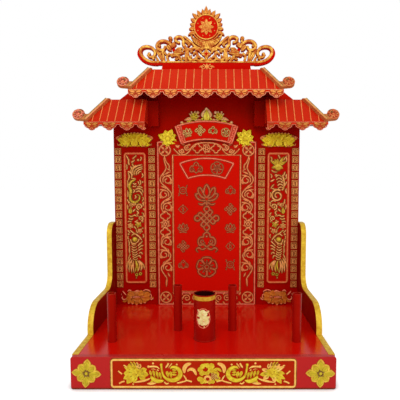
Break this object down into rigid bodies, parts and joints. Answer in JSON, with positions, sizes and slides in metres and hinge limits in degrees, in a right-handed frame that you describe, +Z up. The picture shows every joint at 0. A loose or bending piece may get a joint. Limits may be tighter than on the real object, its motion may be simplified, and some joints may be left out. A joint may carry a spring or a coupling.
{
  "type": "heaven god shrine",
  "caption": "Red lacquered table-top shrine: offering deck with side wings, carved back wall with columns, stepped scalloped roofs, openwork crest, incense tube and slim holders.",
  "frame": {"origin": "middle of the underside of the whole shrine, on the surface it stands on", "axes": "+Z up; the front faces -Y; +X to the right as seen from the front"},
  "size_m": [0.518, 0.28, 0.67],
  "materials": {
    "red_lacquer": "glossy red lacquer",
    "dark_red_lacquer": "satin dark red lacquer",
    "roof_lacquer": "satin orange red paint",
    "yellow_gilt": "yellow gold paint on carving",
    "copper_gilt": "copper gold paint on carving",
    "edge_gilt": "gold painted edge",
    "tube_lacquer": "glossy dark red enamel"
  },
  "bodies": {
    "root": {"base_front_board": "red_lacquer", "base_front_relief": "yellow_gilt", "base_medallion_left": "yellow_gilt", "base_medallion_right": "yellow_gilt", "deck_board": "red_lacquer", "wing_left": "dark_red_lacquer", "wing_right": "dark_red_lacquer", "wing_trim_left": "edge_gilt", "wing_trim_right": "edge_gilt", "back_wall": "dark_red_lacquer", "centre_panel": "red_lacquer", "plaque": "red_lacquer", "plaque_leaf_carving": "yellow_gilt", "plaque_flower_left": "yellow_gilt", "plaque_flower_right": "yellow_gilt", "column_panel_left": "red_lacquer", "column_panel_right": "red_lacquer", "fret_strips_left": "copper_gilt", "fret_strips_right": "copper_gilt", "lotus_top_left": "yellow_gilt", "lotus_top_right": "yellow_gilt", "lotus_bottom_left": "copper_gilt", "lotus_bottom_right": "copper_gilt", "side_header_left": "dark_red_lacquer", "side_header_right": "dark_red_lacquer", "roof_soffits": "dark_red_lacquer", "side_roof_left": "roof_lacquer", "side_roof_right": "roof_lacquer", "side_eave_left": "copper_gilt", "side_eave_right": "copper_gilt", "side_hip_left": "copper_gilt", "side_hip_right": "copper_gilt", "centre_roof": "roof_lacquer", "centre_eave": "copper_gilt", "centre_hip_left": "copper_gilt", "centre_hip_right": "copper_gilt", "crest_base": "roof_lacquer", "crest_scrollwork": "yellow_gilt", "crest_medallion": "yellow_gilt", "incense_tube": "tube_lacquer", "holder_front_left": "tube_lacquer", "holder_front_right": "tube_lacquer", "holder_back_left": "tube_lacquer", "holder_back_right": "tube_lacquer"}
  },
  "joints": []
}
